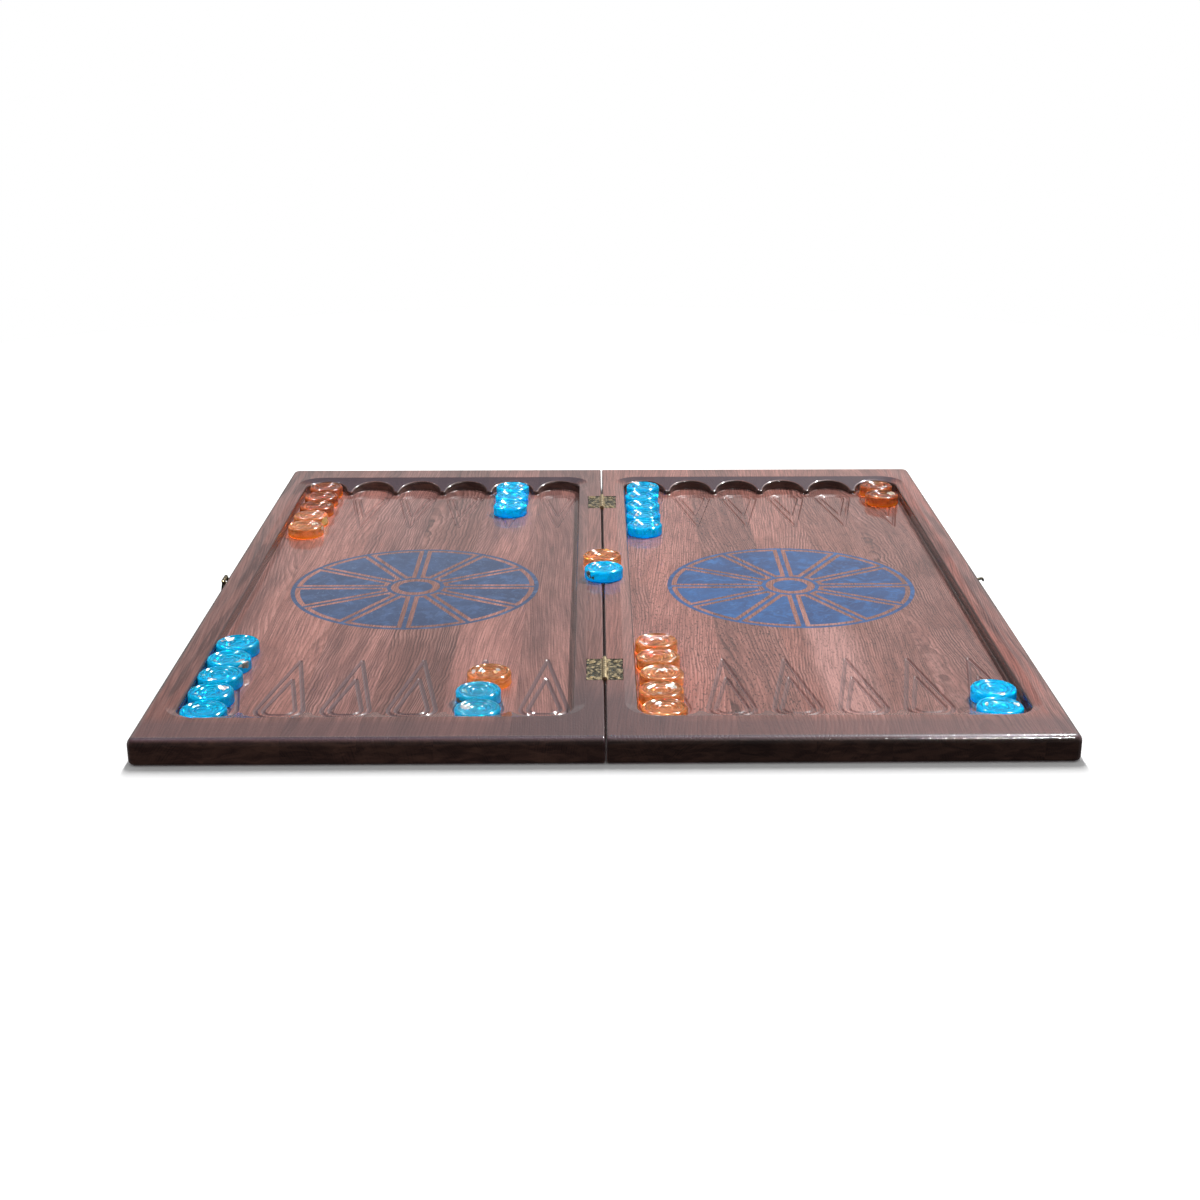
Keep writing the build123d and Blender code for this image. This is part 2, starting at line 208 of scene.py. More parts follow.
# ---------------------------------------------------------------- lacquered walnut, glued up from staves along Y
def walnut(name, seed, tone_mul, ends, pitted, groove, red, rails):
    mat, n = material(name)
    pos = n.node("TexCoord").outputs["Object"]
    x, y, z = n.xyz(pos)
    stave_w = 0.048
    u = n.math("ADD", n.math("DIVIDE", n.math("ADD", x, 0.252), stave_w), 40.0)
    idx = n.math("FLOOR", u)
    inside = n.math("SUBTRACT", n.math("FRACT", u), 0.5)             # -0.5 .. 0.5 across a stave

    def dice(shift):
        wn = n.node("TexWhiteNoise", noise_dimensions="1D")
        n.put(wn.inputs["W"], n.math("ADD", idx, seed + shift))
        return n.xyz(wn.outputs["Color"])

    r1, r2, r3 = dice(0.0)
    q1, q2, q3 = dice(51.7)
    p1, p2, p3 = dice(93.1)
    shifted = n.vec(n.math("ADD", x, n.math("MULTIPLY", idx, 0.37)), y, z)

    # growth rings: cylinders about a wandering axis beside and below each stave
    slant = n.math("MULTIPLY", n.math("SUBTRACT", q1, 0.5), 0.15)
    bend = n.noise(n.vmath("MULTIPLY", shifted, (5.0, 4.2, 5.0)), 1.0, 1.0, 0.5)
    xl = n.math("ADD", n.math("MULTIPLY", inside, stave_w), n.math("MULTIPLY", y, slant))
    xl = n.math("ADD", xl, n.math("MULTIPLY", n.math("SUBTRACT", bend, 0.5), 0.022))
    side = n.math("SIGN", n.math("SUBTRACT", r1, 0.5))
    far = n.math("ADD", n.math("MULTIPLY", n.math("POWER", n.math("MULTIPLY", n.math("ABSOLUTE", n.math("SUBTRACT", r1, 0.5)), 2.0), 0.6), 0.062), 0.002)
    xr = n.math("ADD", xl, n.math("MULTIPLY", side, far))
    depth = n.math("ADD", n.math("MULTIPLY", r2, 0.022), 0.020)
    tilt = n.math("MULTIPLY", n.math("SUBTRACT", r3, 0.5), 0.10)
    roll = n.noise(n.vmath("MULTIPLY", shifted, (10.0, 6.0, 10.0)), 1.0, 1.0, 0.5)
    zr = n.math("ADD", n.math("ADD", n.math("SUBTRACT", z, 0.009), depth), n.math("MULTIPLY", y, tilt))
    zr = n.math("ADD", zr, n.math("MULTIPLY", n.math("SUBTRACT", roll, 0.5), 0.014))
    rad = n.math("SQRT", n.math("ADD", n.math("MULTIPLY", xr, xr), n.math("MULTIPLY", zr, zr)))
    # curl: the rings run in small waves in some staves
    curl = n.noise(n.vmath("MULTIPLY", shifted, (34.0, 48.0, 34.0)), 1.0, 1.0, 0.5)
    curl_amp = n.math("ADD", n.math("MULTIPLY", n.math("MULTIPLY", p1, p1), 0.0034), 0.0006)
    rad = n.math("ADD", rad, n.math("MULTIPLY", n.math("SUBTRACT", curl, 0.5), curl_amp))
    jit = n.noise(n.vmath("MULTIPLY", shifted, (260.0, 90.0, 260.0)), 1.0, 2.0, 0.5)
    rad = n.math("ADD", rad, n.math("MULTIPLY", n.math("SUBTRACT", jit, 0.5), 0.00034))
    ring_w = n.math("ADD", n.math("MULTIPLY", q3, 0.0009), 0.0013)
    uneven = n.noise(None, 1.0, 1.0, 0.5, dim="1D", w=n.math("ADD", n.math("MULTIPLY", rad, 70.0), n.math("MULTIPLY", idx, 1.9)))
    count = n.math("ADD", n.math("DIVIDE", rad, ring_w), n.math("MULTIPLY", uneven, 3.0))
    phase = n.math("FRACT", count)
    late = n.ramp(phase, [(0.0, 0.16), (0.10, 0.0), (0.45, 0.06), (0.72, 0.48), (0.86, 1.0), (0.95, 0.70), (1.0, 0.16)])
    early = n.ramp(phase, [(0.0, 0.45), (0.10, 1.0), (0.28, 0.70), (0.55, 0.10), (0.80, 0.0), (0.94, 0.10), (1.0, 0.45)])
    strength = n.noise(None, 1.0, 1.0, 0.5, dim="1D", w=n.math("ADD", n.math("MULTIPLY", rad, 190.0), n.math("MULTIPLY", idx, 3.7)))
    patchy = n.noise(n.vmath("MULTIPLY", shifted, (22.0, 9.0, 22.0)), 1.0, 2.0, 0.5)
    late_s = n.math("MULTIPLY", late, n.remap(strength, 0.30, 0.60, 0.45, 1.0))
    late_s = n.math("MULTIPLY", late_s, n.remap(patchy, 0.32, 0.58, 0.50, 1.0))

    # fibres and pores run along Y, following the rings' lean
    lean_vec = n.vec(n.math("ADD", xl, n.math("MULTIPLY", idx, 0.37)), y, z)
    fib = n.noise(n.vmath("MULTIPLY", lean_vec, (820.0, 26.0, 820.0)), 1.0, 3.0, 0.6)
    pore = n.noise(n.vmath("MULTIPLY", lean_vec, (900.0, 230.0, 900.0)), 1.0, 1.0, 0.5)
    pore = n.remap(pore, 0.57, 0.66, 0.0, 1.0)
    pore = n.math("MULTIPLY", pore, n.remap(p2, 0.0, 1.0, 0.45, 1.0))
    streak = n.noise(n.vmath("MULTIPLY", lean_vec, (95.0, 3.4, 95.0)), 1.0, 3.0, 0.6)
    broad = n.noise(n.vmath("MULTIPLY", shifted, (26.0, 3.2, 26.0)), 1.0, 2.0, 0.5)
    cloud = n.noise(pos, 7.0, 2.0, 0.5)

    base = n.mix(n.remap(streak, 0.34, 0.66), (0.172, 0.074, 0.066), (0.400, 0.196, 0.166))
    base = n.mix(n.remap(broad, 0.46, 0.70, 0.0, 0.72), base, (0.105, 0.052, 0.050))
    base = n.mix(n.remap(cloud, 0.35, 0.70, 0.0, 0.30), base, (0.255, 0.140, 0.135))
    base = n.mix(n.math("MULTIPLY", q2, 0.40), base, (0.370, 0.150, 0.105))
    # long wavy red streaks along the outer edges
    wavy = n.noise(n.vmath("MULTIPLY", n.vec(n.math("ADD", x, n.math("MULTIPLY", bend, 0.030)), y, z), (150.0, 7.0, 150.0)), 1.0, 2.0, 0.55)
    outer = n.remap(n.math("ABSOLUTE", x), 0.262, 0.282, 0.0, 1.0)
    base = n.mix(n.math("MULTIPLY", outer, n.remap(wavy, 0.50, 0.58, 0.0, red)), base, (0.390, 0.125, 0.092))
    base = n.mix(n.math("MULTIPLY", outer, n.remap(wavy, 0.47, 0.40, 0.0, 0.75)), base, (0.095, 0.042, 0.040))
    # partly the wood's own lighter earlywood tone, partly a painted highlight: pale pinkish bands beside the ring lines
    # stand in for the lacquer's glints
    glint = n.noise(n.vmath("MULTIPLY", shifted, (30.0, 14.0, 30.0)), 1.0, 2.0, 0.6)
    glint = n.math("MULTIPLY", n.remap(glint, 0.42, 0.62, 0.10, 1.0), early)
    # the wood left around the spokes of the medallion is too narrow to show much figure
    mx = n.math("SUBTRACT", n.math("ABSOLUTE", x), 0.1505)
    med = n.math("SQRT", n.math("ADD", n.math("MULTIPLY", mx, mx), n.math("MULTIPLY", y, y)))
    raised = n.remap(z, 0.0076, 0.0082, 0.0, 1.0)
    calm = n.math("MULTIPLY", n.remap(med, 0.0965, 0.0985, 0.45, 1.0), n.math("SUBTRACT", 1.0, n.math("MULTIPLY", raised, 0.45)))
    calm = n.math("MULTIPLY", calm, n.remap(p1, 0.15, 0.85, 0.45, 1.0))
    col = n.mix(n.math("MULTIPLY", n.math("MULTIPLY", glint, 0.50), calm), base, (0.600, 0.350, 0.310))
    col = n.mix(n.math("MULTIPLY", n.math("MULTIPLY", late_s, 0.86), calm), col, (0.040, 0.015, 0.015))
    pale = n.math("MULTIPLY", n.remap(n.math("ADD", x, n.math("MULTIPLY", bend, 0.008)), 0.150, 0.160), n.remap(n.math("ADD", x, n.math("MULTIPLY", cloud, 0.016)), 0.202, 0.186))
    pale = n.math("MULTIPLY", n.math("MULTIPLY", pale, n.remap(y, -0.03, -0.11)), n.math("SUBTRACT", 1.0, raised))
    col = n.mix(n.math("MULTIPLY", pale, 0.50), col, (0.640, 0.400, 0.370))
    col = n.mix(n.remap(fib, 0.44, 0.70, 0.0, 0.60), col, (0.066, 0.029, 0.025))
    col = n.mix(n.remap(fib, 0.44, 0.28, 0.0, 0.40), col, (0.470, 0.250, 0.215))
    col = n.mix(n.math("MULTIPLY", n.math("MULTIPLY", pore, pitted), n.math("SUBTRACT", 1.0, n.math("MULTIPLY", raised, 0.6))), col, (0.026, 0.012, 0.011))
    tone = n.math("MULTIPLY", n.remap(p3, 0.0, 1.0, 0.76, 1.18), n.remap(x, 0.070, 0.250, 1.10, 0.84))
    col = n.mix(1.0, col, n.vmath("SCALE", tone_mul, scale=tone), "MULTIPLY")
    rail_tone = n.math("ADD", 1.0, n.math("MULTIPLY", raised, n.remap(n.math("ABSOLUTE", x), 0.050, 0.230, rails[0] - 1.0, rails[1] - 1.0)))
    col = n.mix(1.0, col, n.vec(rail_tone, rail_tone, rail_tone), "MULTIPLY")
    # the near rail is darker and greyer
    near_rail = n.remap(y, -0.286, -0.300)
    near_seam = n.math("MULTIPLY", n.remap(n.math("ABSOLUTE", x), 0.095, 0.040), n.remap(y, -0.200, -0.262))
    near_rail = n.math("MULTIPLY", n.math("MAXIMUM", near_rail, near_seam), raised)
    col = n.mix(n.math("MULTIPLY", near_rail, 0.66), col, (0.100, 0.055, 0.058))
    col = n.mix(n.math("MULTIPLY", n.math("MULTIPLY", near_seam, raised), 0.45), col, (0.062, 0.038, 0.043))
    # painted shade: the carved grooves are painted darker inside, less so towards the far end
    painted_groove_shade = n.math("MULTIPLY", n.remap(z, 0.00749, 0.00732, 0.0, groove), n.remap(y, -0.05, 0.05, 1.0, 0.30))
    painted_groove_shade = n.math("MULTIPLY", painted_groove_shade, n.remap(z, 0.0060, 0.0064, 0.0, 1.0))
    painted_groove_shade = n.math("MULTIPLY", painted_groove_shade, n.remap(n.math("ABSOLUTE", y), 0.300, 0.296, 0.0, 1.0))
    col = n.mix(painted_groove_shade, col, (0.092, 0.052, 0.060))
    edge = n.math("ABSOLUTE", inside)
    joint = n.remap(edge, 0.4960, 0.4992, 0.0, 0.45)
    col = n.mix(joint, col, (0.030, 0.014, 0.012))

    # end grain: the stained ends are nearly black. Painted shade: the long upright walls of the recess are painted dark
    # red-brown
    ox, oy, oz = n.xyz(n.node("TexCoord").outputs["Normal"])
    tipped = n.math("ABSOLUTE", oy)
    across = n.math("MULTIPLY", n.remap(tipped, 0.42, 0.92, 0.0, 1.0, True), n.math("MAXIMUM", raised, n.remap(n.math("ABSOLUTE", y), 0.296, 0.300, 0.0, 1.0)))
    hollow = n.math("MULTIPLY", n.remap(n.math("ABSOLUTE", x), 0.288, 0.284, 0.0, 1.0), n.remap(n.math("ABSOLUTE", y), 0.296, 0.292, 0.0, 1.0))
    inner = n.math("MULTIPLY", n.math("MULTIPLY", n.remap(tipped, 0.10, 0.50, 0.0, 1.0), raised), hollow)
    inner = n.math("MULTIPLY", inner, n.remap(oz, 0.90, 0.70, 0.0, 1.0))
    across = n.math("MAXIMUM", across, inner)
    flank = n.math("MULTIPLY", n.remap(n.math("ABSOLUTE", x), 0.2955, 0.2985, 0.0, 0.50), n.remap(oz, 0.35, 0.80, 1.0, 0.0))
    endness = n.math("MAXIMUM", across, flank)
    # painted shade on the long upright walls of the recess
    painted_wall_shade = n.math("MULTIPLY", n.math("MULTIPLY", n.remap(n.math("ABSOLUTE", ox), 0.35, 0.70, 0.0, 0.94), raised), hollow)
    col = n.mix(painted_wall_shade, col, (0.052, 0.016, 0.013))
    # painted shade: the sloped lip at the far end is painted darker and greyer, standing in for its dimmer reflection
    far_lip_painted_shade = n.math("MULTIPLY", n.remap(oy, -0.06, -0.18, 0.0, 0.92), n.remap(oz, 0.80, 0.93, 0.0, 1.0))
    far_lip_painted_shade = n.math("MULTIPLY", far_lip_painted_shade, n.remap(y, 0.296, 0.294, 0.0, 1.0))
    col = n.mix(n.math("MULTIPLY", far_lip_painted_shade, raised), col, (0.058, 0.041, 0.053))
    figure = n.noise(n.vmath("MULTIPLY", shifted, (60.0, 60.0, 220.0)), 1.0, 3.0, 0.6, 0.8)
    endcol = n.mix(n.remap(late_s, 0.2, 0.9), (0.026, 0.0110, 0.0085), (0.011, 0.005, 0.004))
    endcol = n.mix(n.remap(figure, 0.40, 0.66, 0.0, 0.75), endcol, (0.062, 0.029, 0.020))
    endcol = n.mix(n.math("MULTIPLY", n.remap(broad, 0.4, 0.7), 0.5), endcol, (0.009, 0.004, 0.004))
    endcol = n.mix(1.0, endcol, (ends, ends, ends), "MULTIPLY")
    # painted reflection: the rounded-over ends are painted purple-grey where they turn from the top to the end grain
    painted_edge_sheen = n.math("MULTIPLY", n.remap(tipped, 0.05, 0.40, 0.0, 0.55), n.remap(n.math("ABSOLUTE", y), 0.310, 0.318, 0.0, 1.0))
    col = n.mix(painted_edge_sheen, col, (0.105, 0.052, 0.075))
    col = n.mix(n.math("MULTIPLY", endness, 0.97), col, endcol)

    height = n.math("MULTIPLY", late_s, -0.8)
    height = n.math("SUBTRACT", height, n.math("MULTIPLY", pore, 0.7))
    height = n.math("SUBTRACT", height, n.math("MULTIPLY", fib, 0.30))
    fine = n.bump(height, 0.00016, 0.6)
    peel = n.noise(pos, 240.0, 2.0, 0.5)
    swell = n.noise(n.vmath("MULTIPLY", shifted, (70.0, 22.0, 70.0)), 1.0, 1.0, 0.5)
    skin = n.math("ADD", n.math("MULTIPLY", height, 0.22), n.math("MULTIPLY", peel, 0.30))
    skin = n.math("ADD", skin, n.math("MULTIPLY", swell, 0.8))
    beads = n.math("MULTIPLY", n.noise(n.vec(n.math("MULTIPLY", x, 330.0), 0.0, 0.0), 1.0, 1.0, 0.5), n.remap(n.math("ABSOLUTE", y), 0.3195, 0.3205, 0.0, 9.0))
    skin = n.math("ADD", skin, beads)
    film = n.bump(skin, 0.00006, 0.7)
    s = n.bsdf(Base_Color=col, Normal=fine, Coat_Normal=film)
    s.inputs["Roughness"].default_value = 0.45
    s.inputs["IOR"].default_value = 1.40
    s.inputs["Specular IOR Level"].default_value = 0.2
    s.inputs["Coat Weight"].default_value = 1.0
    s.inputs["Coat Roughness"].default_value = 0.08
    s.inputs["Coat IOR"].default_value = 1.50
    n.tree.links.new(s.outputs[0], n.out.inputs["Surface"])
    return mat


# ---------------------------------------------------------------- pearly blue resin in the routed pockets
def inlay_resin(name, deep, mid, light, grey):
    mat, n = material(name)
    pos = n.node("TexCoord").outputs["Object"]
    warp = n.noise(pos, 34.0, 3.0, 0.6)
    bent = n.vmath("ADD", pos, n.vmath("SCALE", n.vec(warp, n.math("MULTIPLY", warp, 1.7), warp), scale=0.035))
    swirl = n.noise(bent, 75.0, 4.0, 0.62, 0.9)
    cloud = n.noise(bent, 21.0, 2.0, 0.5)
    wisp = n.noise(bent, 160.0, 3.0, 0.55, 1.6)
    col = n.mix(n.remap(cloud, 0.32, 0.68), deep, mid)
    col = n.mix(n.remap(swirl, 0.48, 0.74, 0.0, 0.8), col, light)
    col = n.mix(n.remap(wisp, 0.60, 0.76, 0.0, 0.5), col, grey)
    fleck = n.remap(n.noise(pos, 850.0, 1.0, 0.5), 0.70, 0.77, 0.0, 0.55)
    col = n.mix(fleck, col, grey)
    film = n.bump(n.math("ADD", n.noise(pos, 240.0, 2.0, 0.5), n.noise(n.vmath("MULTIPLY", pos, (70.0, 22.0, 70.0)), 1.0, 1.0, 0.5)), 0.00006, 0.4)
    s = n.bsdf(Base_Color=col, Coat_Normal=film)
    s.inputs["Roughness"].default_value = 0.38
    s.inputs["Specular IOR Level"].default_value = 0.2
    s.inputs["Coat Weight"].default_value = 1.0
    s.inputs["Coat Roughness"].default_value = 0.05
    s.inputs["Coat IOR"].default_value = 1.50
    n.tree.links.new(s.outputs[0], n.out.inputs["Surface"])
    return mat


# ---------------------------------------------------------------- aged brass
def brass(name, bright=0.0):
    mat, n = material(name)
    pos = n.node("TexCoord").outputs["Object"]
    patina = n.noise(pos, 420.0, 4.0, 0.6)
    blotch = n.noise(pos, 170.0, 3.0, 0.6, 0.8)
    dull = n.mix(n.remap(blotch, 0.35, 0.65), (0.075, 0.067, 0.048), (0.230, 0.200, 0.135))
    gold = (0.86, 0.68, 0.40)
    rubbed = n.remap(n.noise(pos, 420.0, 2.0, 0.5), 0.54, 0.62, 0.0, 0.80)
    x = n.xyz(pos)[0]
    barrel = n.math("MULTIPLY", n.remap(n.math("ABSOLUTE", x), 0.0030, 0.0020), 0.65)
    col = n.mix(n.math("ADD", n.math("MAXIMUM", rubbed, barrel), bright, clamp=True), dull, gold)
    col = n.mix(n.remap(patina, 0.52, 0.74, 0.0, 0.60), col, (0.045, 0.036, 0.024))
    rough = n.remap(patina, 0.3, 0.7, 0.20, 0.42)
    s = n.bsdf(Base_Color=col, Metallic=1.0, Roughness=rough, Normal=n.bump(n.math("ADD", patina, blotch), 0.00035, 0.8))
    n.tree.links.new(s.outputs[0], n.out.inputs["Surface"])
    return mat


# ---------------------------------------------------------------- cast resin checkers
def checker_resin(name, deep, light, low, transmission, scatter, radius, tint, rings, ior):
    mat, n = material(name)
    pos = n.node("TexCoord").outputs["Object"]
    rnd = n.node("ObjectInfo").outputs["Random"]
    px, py, pz = n.xyz(pos)
    seeded = n.vmath("ADD", pos, n.vec(rnd, n.math("MULTIPLY", rnd, 7.0), n.math("MULTIPLY", rnd, 3.0)))
    warp = n.noise(seeded, 90.0, 2.0, 0.5)
    swirl = n.noise(n.vmath("ADD", seeded, n.vmath("SCALE", n.vec(warp, warp, warp), scale=0.016)), 115.0, 3.0, 0.6, 1.4)
    col = n.mix(n.remap(swirl, 0.34, 0.66), deep, light)
    # painted shade and painted refraction: darker rings are painted on the top at its steps
    away = n.math("SQRT", n.math("ADD", n.math("MULTIPLY", px, px), n.math("MULTIPLY", py, py)))
    away = n.math("ADD", away, n.math("MULTIPLY", n.math("SUBTRACT", warp, 0.5), 0.0006))
    painted_ring_shade = n.ramp(n.remap(away, 0.0, 0.0154), [(0.0, 0.30), (0.22, 0.45), (0.31, 0.0), (0.36, 0.85), (0.44, 0.25), (0.54, 0.0), (0.60, 0.90), (0.66, 0.35), (0.76, 0.10), (0.83, 0.55), (0.90, 0.20), (1.0, 0.0)])
    painted_ring_shade = n.math("MULTIPLY", painted_ring_shade, n.remap(pz, 0.0066, 0.0078, 0.0, 1.0))
    col = n.mix(n.math("MULTIPLY", painted_ring_shade, 0.75), col, rings)
    # painted light: the lower part is painted in the brighter foot colour, where light gathers near the foot
    foot = n.remap(pz, 0.0006, 0.0052, 1.0, 0.0, True)
    col = n.mix(n.math("MULTIPLY", foot, 0.85), col, low)
    dust = n.remap(n.noise(seeded, 1500.0, 1.0, 0.5), 0.74, 0.80, 0.0, 0.25)
    col = n.mix(dust, col, (0.8, 0.95, 0.95))
    ripple = n.bump(n.noise(seeded, 260.0, 2.0, 0.5), 0.00006, 0.35)
    s = n.bsdf(Base_Color=col, Normal=ripple, Coat_Normal=ripple)
    s.inputs["Roughness"].default_value = 0.03
    s.inputs["IOR"].default_value = ior
    s.inputs["Specular IOR Level"].default_value = 0.10
    s.inputs["Coat Weight"].default_value = 0.24
    s.inputs["Coat Roughness"].default_value = 0.11
    s.inputs["Coat IOR"].default_value = 1.36
    s.inputs["Transmission Weight"].default_value = transmission
    s.inputs["Subsurface Weight"].default_value = scatter
    s.inputs["Subsurface Scale"].default_value = 0.005
    s.inputs["Subsurface Radius"].default_value = radius
    clear = n.node("BsdfTransparent")
    clear.inputs["Color"].default_value = tuple(tint) + (1.0,)
    mix = n.node("MixShader")
    n.put(mix.inputs[0], n.node("LightPath").outputs["Is Shadow Ray"])
    n.tree.links.new(s.outputs[0], mix.inputs[1])
    n.tree.links.new(clear.outputs[0], mix.inputs[2])
    n.tree.links.new(mix.outputs[0], n.out.inputs["Surface"])
    return mat


def chip_stuff(name, a, b, rough, metallic=0.0):
    mat, n = material(name)
    pos = n.node("TexCoord").outputs["Object"]
    rnd = n.node("ObjectInfo").outputs["Random"]
    seeded = n.vmath("ADD", pos, n.vec(rnd, rnd, rnd))
    veins = n.noise(seeded, 620.0, 4.0, 0.65, 1.5)
    col = n.mix(n.remap(veins, 0.36, 0.64), a, b)
    s = n.bsdf(Base_Color=col, Normal=n.bump(veins, 0.0002, 0.5))
    s.inputs["Roughness"].default_value = rough
    s.inputs["Metallic"].default_value = metallic
    s.inputs["Coat Weight"].default_value = 0.6
    s.inputs["Coat Roughness"].default_value = 0.10
    n.tree.links.new(s.outputs[0], n.out.inputs["Surface"])
    return mat


WOOD_R = walnut("walnut_right", 3.3, (1.00, 0.86, 0.84), 1.40, 0.80, 0.42, 0.50, (0.84, 1.12))
WOOD_L = walnut("walnut_left", 17.3, (0.84, 0.76, 0.75), 2.0, 0.25, 0.75, 0.20, (0.84, 0.72))
RESIN_R = inlay_resin("inlay_resin", (0.003, 0.032, 0.135), (0.006, 0.068, 0.230), (0.020, 0.140, 0.400), (0.080, 0.220, 0.460))
RESIN_L = inlay_resin("inlay_resin_left", (0.016, 0.038, 0.105), (0.026, 0.062, 0.160), (0.060, 0.120, 0.270), (0.16, 0.26, 0.42))
BRASS = brass("aged_brass")
BRASS_BRIGHT = brass("rubbed_brass", 0.50)
RESINS = {
    "blue": checker_resin("resin_blue", (0.0, 0.33, 0.59), (0.0, 0.56, 0.88), (0.0, 0.36, 0.92), 0.15, 0.30, (0.2, 1.0, 1.2), (0.08, 0.34, 0.52), (0.0, 0.16, 0.30), 1.22),
    "teal": checker_resin("resin_teal", (0.0, 0.22, 0.31), (0.01, 0.46, 0.56), (0.0, 0.32, 0.62), 0.45, 0.25, (0.3, 1.0, 1.1), (0.10, 0.34, 0.46), (0.06, 0.20, 0.28), 1.40),
    "amber": checker_resin("resin_amber", (0.45, 0.215, 0.085), (0.73, 0.42, 0.21), (0.86, 0.36, 0.05), 0.28, 0.30, (1.2, 0.6, 0.25), (0.45, 0.28, 0.18), (0.34, 0.15, 0.07), 1.40),
    # painted shade: a darker copy of the blue resin
    "blue_painted_shade": checker_resin("resin_lagoon", (0.0, 0.25, 0.43), (0.0, 0.45, 0.68), (0.0, 0.31, 0.78), 0.15, 0.30, (0.2, 1.0, 1.2), (0.08, 0.34, 0.52), (0.0, 0.13, 0.26), 1.22),
    "umber": checker_resin("resin_umber", (0.28, 0.085, 0.026), (0.50, 0.180, 0.070), (0.80, 0.30, 0.03), 0.28, 0.25, (1.2, 0.6, 0.25), (0.40, 0.25, 0.16), (0.12, 0.05, 0.025), 1.40),
}
CHIP_KINDS = {
    "shell": chip_stuff("shell_chip", (0.62, 0.86, 0.90), (0.98, 0.98, 0.96), 0.25),
    "silver": chip_stuff("silver_chip", (0.10, 0.17, 0.20), (0.74, 0.78, 0.80), 0.30, 0.3),
    "mist": chip_stuff("mist_chip", (0.02, 0.60, 0.80), (0.40, 0.86, 0.95), 0.25),
    "stone": chip_stuff("stone_chip", (0.42, 0.28, 0.17), (0.92, 0.84, 0.66), 0.35),
    "cream": chip_stuff("cream_chip", (0.85, 0.62, 0.36), (0.99, 0.90, 0.70), 0.30),
    "yellow": chip_stuff("yellow_chip", (0.90, 0.50, 0.05), (0.98, 0.78, 0.28), 0.30),
    "gold": chip_stuff("gold_chip", (0.85, 0.42, 0.08), (0.98, 0.66, 0.26), 0.30),
    "umber": chip_stuff("umber_chip", (0.07, 0.035, 0.02), (0.34, 0.17, 0.09), 0.45),
    "moss": chip_stuff("moss_chip", (0.002, 0.018, 0.014), (0.05, 0.085, 0.030), 0.55),
    "olive": chip_stuff("olive_chip", (0.03, 0.10, 0.06), (0.16, 0.24, 0.10), 0.45),
}


def dress(obj, mat):
    obj.data.materials.clear()
    obj.data.materials.append(mat)


for name, obj in NODES.items():
    if name.startswith("tray"):
        dress(obj, WOOD_R if name.endswith("right") else WOOD_L)
    elif name.startswith("medallion"):
        dress(obj, RESIN_R if name.endswith("right") else RESIN_L)
    elif name.startswith("checker"):
        dress(obj, RESINS[name.split("_")[1]])
    elif "pin" in name or "screws" in name:
        dress(obj, BRASS_BRIGHT)
    else:
        dress(obj, BRASS)


# ---------------------------------------------------------------- checkers: turned shape with terraced rings
def ease(t):
    return t * t * (3 - 2 * t)


def turned_profile():
    """(radius, height) in mm: underside, side, rounded rim, then three soft steps down to the middle."""
    pts = [(0.0, 0.015), (7.0, 0.015), (13.3, 0.015)]
    for k in range(1, 8):                                  # foot
        t = math.radians(90 * k / 7)
        pts.append((13.9 + 1.5 * math.sin(t), 1.5 - 1.5 * math.cos(t)))
    pts += [(15.40, 2.6), (15.38, 3.8), (15.40, 5.2), (15.40, 6.6)]
    for k in range(0, 13):                                 # rim
        t = math.radians(90 * k / 12)
        pts.append((13.1 + 2.3 * math.cos(t), 7.2 + 2.3 * math.sin(t)))
    z = 9.5
    for outer, width, drop, run in ((12.95, 1.15, 0.60, 2.2), (9.35, 1.15, 0.58, 2.0), (5.70, 1.00, 0.46, 3.0)):
        for k in range(1, 11):
            t = k / 10
            pts.append((outer - width * t, z - drop * ease(t)))
        z -= drop
        for k in range(1, 4):
            pts.append((outer - width - run * k / 3.5, z - 0.012 * k))
        z -= 0.036
    pts += [(0.8, z), (0.0, z)]
    return pts


PROFILE = turned_profile()
ARC = [0.0]
for (ra, ha), (rb, hb) in zip(PROFILE, PROFILE[1:]):
    ARC.append(ARC[-1] + math.hypot(rb - ra, hb - ha))


def on_profile(length):
    """Point and outward normal, in mm, at this arc length from the middle of the underside."""
    length = max(0.01, min(ARC[-1] - 0.01, length))
    k = next(i for i in range(1, len(ARC)) if ARC[i] >= length)
    (ra, ha), (rb, hb) = PROFILE[k - 1], PROFILE[k]
    t = (length - ARC[k - 1]) / max(1e-9, ARC[k] - ARC[k - 1])
    d = math.hypot(rb - ra, hb - ha) or 1.0
    return ra + (rb - ra) * t, ha + (hb - ha) * t, (hb - ha) / d, -(rb - ra) / d


def arc_of_top(radius):
    for k in range(len(PROFILE) - 1, 0, -1):
        (ra, ha), (rb, hb) = PROFILE[k - 1], PROFILE[k]
        if rb <= radius <= ra and ha > 6.0:
            return ARC[k - 1] + (ARC[k] - ARC[k - 1]) * (ra - radius) / max(1e-9, ra - rb)
    return ARC[-1]


def arc_of_side(height):
    for k in range(1, len(PROFILE)):
        (ra, ha), (rb, hb) = PROFILE[k - 1], PROFILE[k]
        if rb > 13.5 and ha <= height <= hb:
            return ARC[k - 1] + (ARC[k] - ARC[k - 1]) * (height - ha) / max(1e-9, hb - ha)
    return ARC[-1]


